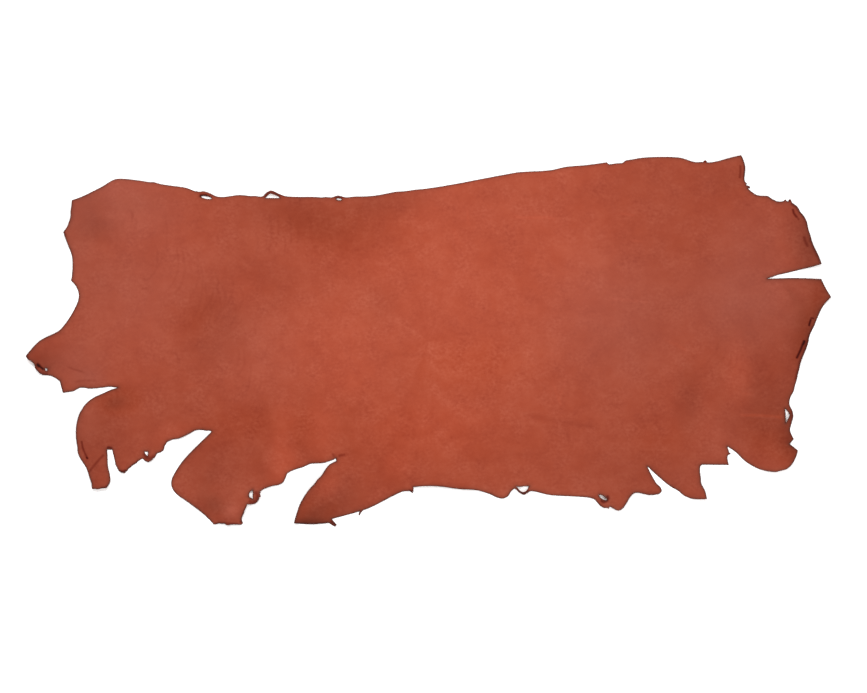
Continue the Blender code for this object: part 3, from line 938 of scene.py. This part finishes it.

# Where the leather is drawn hazy and rosier, partly where the dye took thinly over the grease in the skin
# and partly as a painted sheen, the neck and slit end rows most of all: the same columns.
HAZE = 0.11
HAZE_AND_SHEEN_PATCHES = [
    ("neck corner", -920, 420, 560, 300, -10, 0.25),
    ("neck fold", -1060, 320, 180, 380, 0, 0.12),
    ("neck", -900, 150, 760, 620, 0, 0.16),
    ("cheek", -1060, -80, 300, 260, 0, 0.18),
    ("shoulder pale", -520, -30, 460, 420, 0, 0.09),
    ("shoulder dark", -710, 70, 240, 240, 20, -0.12),
    ("loin", 560, 80, 620, 600, 0, 0.20),
    ("slit end", 950, 130, 520, 460, 0, 0.27),
    ("rump", 980, 330, 360, 280, 0, 0.12),
    ("belly", -100, -310, 1500, 520, 0, -0.09),
    ("slit root", -930, -180, 200, 130, 0, -0.24),
    ("hind flank", 820, -330, 480, 300, 0, 0.07),
    ("withers", -330, 360, 420, 260, -10, -0.08),
    ("hip rim", 1210, 30, 280, 480, -10, -0.34),
    ("hock", 1120, -300, 220, 260, 0, -0.28),
    ("elbow", -360, -530, 260, 150, 30, -0.22),
    ("armpit", -560, -250, 420, 180, 0, -0.08),
    ("foreleg", -1040, -250, 130, 240, 0, 0.08),
    ("brisket shine", -590, -510, 90, 70, 30, 0.15),
    ("stifle", 1020, -280, 240, 220, 0, -0.18),
    ("jaw", -1020, -110, 150, 80, 0, 0.12),
    ("middle", 120, -70, 560, 240, 0, -0.12),
    ("withers edge", -230, 320, 760, 330, 0, -0.07),
    ("flank", 720, -310, 380, 200, 0, -0.13),
    ("elbow fold", -375, -260, 100, 200, 0, -0.10),
]

# Behind CLEAN_FRONT the knife's cut is clean and its lip lies low, so less of the dark rim is drawn
# there: it soaked up less dye and dirt, and it gets less painted shade. There the leather counts as the
# second number times further from the edge.
CLEAN_FRONT, LIGHTER_RIM = -960, 1.45
DARKENING = 0.8  # the share of the painted shade and stains of the creases, slits and loops that is drawn


def keep_on_mesh(sheet, name, values):
    """Stores one number for each point of the mesh."""
    layer = sheet.data.attributes.new(name, "FLOAT", "POINT")
    layer.data.foreach_set("value", np.asarray(values, np.float32))


at_x, at_y, _ = hide_points.T
clean_cut = (at_y > KNIFE_CUT_Y) & (at_x > CLEAN_FRONT) & (at_x < KNIFE_CUT_BACK)
_, dark = creasing(at_x, at_y)
keep_on_mesh(hide, "edge_mm", edge_distance * np.where(clean_cut, LIGHTER_RIM, 1.0))
# Painted shade in the creases, slits and standing loops, with the stains of the loops and torn ends.
keep_on_mesh(hide, "crease_shade_and_stain", DARKENING * np.clip(dark, 0, None))
# The tone carries painted light too: a brighter middle for the light falling off towards the ends, and
# painted highlights on the shine rows and the pale ridges.
keep_on_mesh(hide, "tone_and_painted_light", TONE + swelling(at_x, at_y, TONE_AND_LIGHT_PATCHES) - np.clip(dark, None, 0))
# The haze is partly thin dye and partly a painted sheen of the soft boxes.
keep_on_mesh(hide, "haze_and_painted_sheen", HAZE + swelling(at_x, at_y, HAZE_AND_SHEEN_PATCHES))


# ============================================================
# The grain side: full-grain vegetable-tanned cow leather, drum-dyed chestnut and rolled smooth,
# with a thin wax dressing. It shows soft clouds of dye, fine hair pores, a low broad gloss and
# dark edges, with painted shade in its creases and slits, painted shade as well as dye at its edges,
# and a painted sheen where it is drawn hazy.
# ============================================================


def colour(hex_code):
    """A colour written as sRGB hex, turned linear."""
    channels = [int(hex_code[i : i + 2], 16) / 255 for i in (1, 3, 5)]
    return (*[c / 12.92 if c <= 0.04045 else ((c + 0.055) / 1.055) ** 2.4 for c in channels], 1.0)


def wire(node, links=(), values=()):
    """Feeds some of a node's sockets from other nodes' outputs, and sets others to values."""
    for socket, source in dict(links).items():
        node.id_data.links.new(source, node.inputs[socket])
    for socket, value in dict(values).items():
        node.inputs[socket].default_value = value


def add(tree, kind, links=(), values=(), out=0, stops=(), **settings):
    """Adds a node with its settings, what feeds it, its values and colour stops, and gives an output."""
    node = tree.nodes.new("ShaderNode" + kind)
    for name, value in settings.items():
        setattr(node, name, value)
    wire(node, links, values)
    for number, (place, shade) in enumerate(stops):
        ramp = node.color_ramp.elements
        element = ramp[number] if number < 2 else ramp.new(place)
        element.position = place
        element.color = colour(shade) if isinstance(shade, str) else (shade, shade, shade, 1.0)
    return node.outputs[out]


def new_material(name):
    """A material, its node tree and its Principled shader."""
    material = bpy.data.materials.new(name)
    material.use_nodes = True
    return material, material.node_tree, material.node_tree.nodes["Principled BSDF"]


MIX_A, MIX_B, MIXED = 6, 7, 2  # the sockets of a Mix node for its two colours and what they give


def make_grain_side():
    material, tree, shader = new_material("drum_dyed_veg_tan_grain")
    where = add(tree, "TexCoord", out="Object")
    stretched = add(tree, "Mapping", {"Vector": where}, {"Scale": (0.9, 1.08, 1.0)})

    # Clouds where the dye lies thinner or denser, about 190 and 40 mm across, and the mottle of the skin
    # at about 9 mm, all drawn out a little from neck to tail, the way the skin was stretched. The mottle
    # comes and goes with how loose the fibres are, in drifts of about 70 mm. Thin dye lets the pale tan
    # under it show through.
    cloud, patch, mottle, drift = [
        add(tree, "TexNoise", {"Vector": lie}, {"Scale": scale, "Detail": detail, "Roughness": rough})
        for lie, scale, detail, rough in (
            (stretched, 5.2, 3.0, 0.5),
            (stretched, 25.0, 3.0, 0.6),
            (stretched, 110.0, 2.0, 0.6),
            (where, 14.0, 3.0, 0.6),
        )
    ]
    clouds, patches, mottling, drifting = [
        add(tree, "Math", {0: source}, {1: share, 2: level - 0.5 * share}, operation="MULTIPLY_ADD")
        for source, share, level in (
            (cloud, 0.86, 0.5),
            (patch, 0.56, 0.0),
            (mottle, 0.6, 0.0),
            (drift, 0.2, 0.0),
        )
    ]
    loose = add(
        tree, "MapRange", {"Value": drift},
        {"From Min": 0.35, "From Max": 0.65, "To Min": 0.1, "To Max": 1.9},
    )
    calm = add(tree, "Math", {0: clouds, 1: patches}, operation="ADD")
    thinness = add(tree, "Math", {0: mottling, 1: loose, 2: calm}, operation="MULTIPLY_ADD")
    dye_stops = [(0.0, "#7B2B17"), (0.5, "#8A3A25"), (1.0, "#974934")]
    dye = add(tree, "ValToRGB", {"Fac": thinness}, stops=dye_stops)

    # Hazy and rosier where the dye took thinly over grease, and as a painted sheen, in the same drifts.
    sheen_and_haze_level = add(tree, "Attribute", out="Fac", attribute_name="haze_and_painted_sheen")
    haze = add(tree, "Math", {0: sheen_and_haze_level, 1: drifting}, operation="ADD", use_clamp=True)
    hazy = add(
        tree, "Mix", {"Factor": haze, MIX_A: dye}, {MIX_B: colour("#8B5045")}, MIXED, data_type="RGBA"
    )
    # Darker and brighter by the tone, which holds painted light as well as dye.
    tone = add(tree, "Attribute", out="Fac", attribute_name="tone_and_painted_light")
    toned = add(tree, "VectorMath", {0: hazy, "Scale": tone}, operation="SCALE")

    # Hair pores: really 0.3 mm wide and 1 mm apart, too fine to show, so drawn 3 mm apart and faint.
    pores = add(tree, "TexVoronoi", {"Vector": where}, {"Scale": 330.0}, feature="SMOOTH_F1")
    pore_shade = add(
        tree, "MapRange", {"Value": pores},
        {"From Min": 0.05, "From Max": 0.55, "To Min": 0.965, "To Max": 1.015},
    )

    # The creases, the closed slits and the loops that stand up are drawn darker as painted shade, with
    # some dirt at the loops and torn ends. The edge is drawn darker too, unevenly, partly as dye and dirt
    # that it soaked up and partly as painted shade where its lip lifts.
    crease = add(tree, "Attribute", out="Fac", attribute_name="crease_shade_and_stain")
    shade_and_stain_stops = [(0, "#FFFFFF"), (0.36, "#D2AEA6"), (0.6, "#A0665A"), (0.8, "#6A3426"), (1, "#2A140C")]
    depth = add(tree, "ValToRGB", {"Fac": crease}, stops=shade_and_stain_stops)
    shaded = toned
    for shade in (pore_shade, depth):
        shaded = add(
            tree, "Mix", {MIX_A: shaded, MIX_B: shade}, {"Factor": 1.0}, MIXED,
            data_type="RGBA", blend_type="MULTIPLY",
        )
    edge = add(tree, "Attribute", out="Fac", attribute_name="edge_mm")
    uneven = add(tree, "Math", {0: patch, 2: edge}, {1: 4.0}, operation="MULTIPLY_ADD")
    soaked_and_shaded = add(tree, "MapRange", {"Value": uneven}, {"From Min": 2.0, "From Max": 22.0})
    # The dark rim is partly dye and dirt soaked into the edge and partly painted shade where the edge lifts
    # off the table.
    rim_stops = [(0, 0.9), (0.075, 0.76), (0.15, 0.52), (0.25, 0.3), (0.4, 0.15), (0.6, 0.06), (1, 0.0)]
    rim = add(tree, "ValToRGB", {"Fac": soaked_and_shaded}, stops=rim_stops)
    rimmed = add(
        tree, "Mix", {"Factor": rim, MIX_A: shaded}, {MIX_B: colour("#3A211B")}, MIXED, data_type="RGBA"
    )

    gloss = add(tree, "MapRange", {"Value": patch}, {"To Min": 0.54, "To Max": 0.66})
    skin = add(tree, "Bump", {"Height": mottle}, {"Strength": 0.5, "Distance": 0.00025})
    grain = add(tree, "Bump", {"Height": pores, "Normal": skin}, {"Strength": 0.35, "Distance": 0.0002})
    wire(
        shader, {"Base Color": rimmed, "Roughness": gloss, "Normal": grain},
        {"IOR": 1.5, "Specular IOR Level": 0.06},
    )
    return material


hide.data.materials.append(make_grain_side())


# ============================================================
# The cut edge: the same skin seen end on. A thin firm grain layer lies over coarser matted fibre,
# and the dye, oil and handling have left it darker and duller than either side.
# ============================================================


def make_cut_edge():
    material, tree, shader = new_material("veg_tan_cut_edge")
    where = add(tree, "TexCoord", out="Object")
    # Fibres lie along the sheet, so their noise is drawn out sideways: about 3 mm long and 0.3 mm high.
    along = add(tree, "Mapping", {"Vector": where}, {"Scale": (1.0, 1.0, 9.0)})
    fibre = add(tree, "TexNoise", {"Vector": along}, {"Scale": 330.0, "Detail": 3.0, "Roughness": 0.65})
    fibre_stops = [(0.25, "#35150D"), (0.5, "#532519"), (0.8, "#73372A")]
    shade = add(tree, "ValToRGB", {"Fac": fibre}, stops=fibre_stops)
    bump = add(tree, "Bump", {"Height": fibre}, {"Strength": 0.8, "Distance": 0.0003})
    wire(shader, {"Base Color": shade, "Normal": bump}, {"Roughness": 0.85, "Specular IOR Level": 0.25})
    return material


hide.data.materials.append(make_cut_edge())


# ============================================================
# The flesh side: the split underside of the same leather, shaved level and left as short suede
# nap. It takes the dye unevenly, so it is paler and duller than the grain, with brushed streaks
# and a soft bloom.
# ============================================================


def make_flesh_side():
    material, tree, shader = new_material("veg_tan_flesh_nap")
    where = add(tree, "TexCoord", out="Object")
    # The nap lies in strokes about 60 mm long and 12 mm wide, as the shaving cylinder left it.
    lie = add(tree, "Mapping", {"Vector": where}, {"Scale": (1.0, 5.0, 1.0)})
    brushed = add(tree, "TexNoise", {"Vector": lie}, {"Scale": 16.0, "Detail": 4.0, "Roughness": 0.6})
    nap = add(tree, "TexNoise", {"Vector": where}, {"Scale": 420.0, "Detail": 3.0, "Roughness": 0.7})
    mixed = add(tree, "Math", {0: brushed, 1: nap}, operation="ADD")
    level = add(tree, "MapRange", {"Value": mixed}, {"From Min": 0.7, "From Max": 1.3})
    nap_stops = [(0.0, "#8E5238"), (0.5, "#A8664A"), (1.0, "#BC7C5E")]
    shade = add(tree, "ValToRGB", {"Fac": level}, stops=nap_stops)
    bump = add(tree, "Bump", {"Height": nap}, {"Strength": 0.7, "Distance": 0.0004})
    wire(
        shader, {"Base Color": shade, "Normal": bump},
        {"Roughness": 0.95, "Specular IOR Level": 0.15, "Sheen Weight": 0.25, "Sheen Roughness": 0.5},
    )
    return material


hide.data.materials.append(make_flesh_side())

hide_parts("hide")
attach(hide, "root")


# ============================================================
# The surface it lies on, the light and the camera: a wide white table, a pale room, two large
# soft boxes either side, and a camera hung straight above.
# ============================================================

TABLE_GAP = 0.0004  # the table's top is this far under the hide, so that the two don't share a plane


def make_table():
    bpy.ops.mesh.primitive_plane_add(size=30, location=(0, 0, -TABLE_GAP))
    table = bpy.context.object
    table.name = "table"
    material, _, shader = new_material("white_table")
    wire(shader, values={"Base Color": colour("#FAFAFA"), "Roughness": 0.9, "Specular IOR Level": 0.1})
    table.data.materials.append(material)


def add_soft_box(name, place, width, height, power):
    """A large soft lamp at place that shines at the middle of the hide."""
    lamp = bpy.data.lights.new(name, "AREA")
    lamp.shape = "RECTANGLE"
    lamp.size, lamp.size_y, lamp.energy = width, height, power
    holder = bpy.data.objects.new(name, lamp)
    holder.location = place
    holder.rotation_euler = (-Vector(place)).to_track_quat("-Z", "Y").to_euler()
    bpy.context.scene.collection.objects.link(holder)


make_table()
add_soft_box("key_box", (-0.9, 3.6, 3.6), width=3.4, height=1.8, power=265.0)
add_soft_box("fill_box", (1.7, -3.4, 3.4), width=3.4, height=1.8, power=170.0)

room = bpy.data.worlds.new("pale_room")
room.use_nodes = True
room.node_tree.nodes["Background"].inputs["Color"].default_value = (1.0, 1.0, 1.0, 1.0)
room.node_tree.nodes["Background"].inputs["Strength"].default_value = 0.57
bpy.context.scene.world = room
bpy.context.scene.view_settings.view_transform = "Standard"

camera = bpy.data.cameras.new("camera")
camera.lens = 85
camera.sensor_width = 36
camera.clip_end = 100
camera_holder = bpy.data.objects.new("camera", camera)
camera_holder.location = (0.015, -0.0165, 6.141)
bpy.context.scene.collection.objects.link(camera_holder)
bpy.context.scene.camera = camera_holder
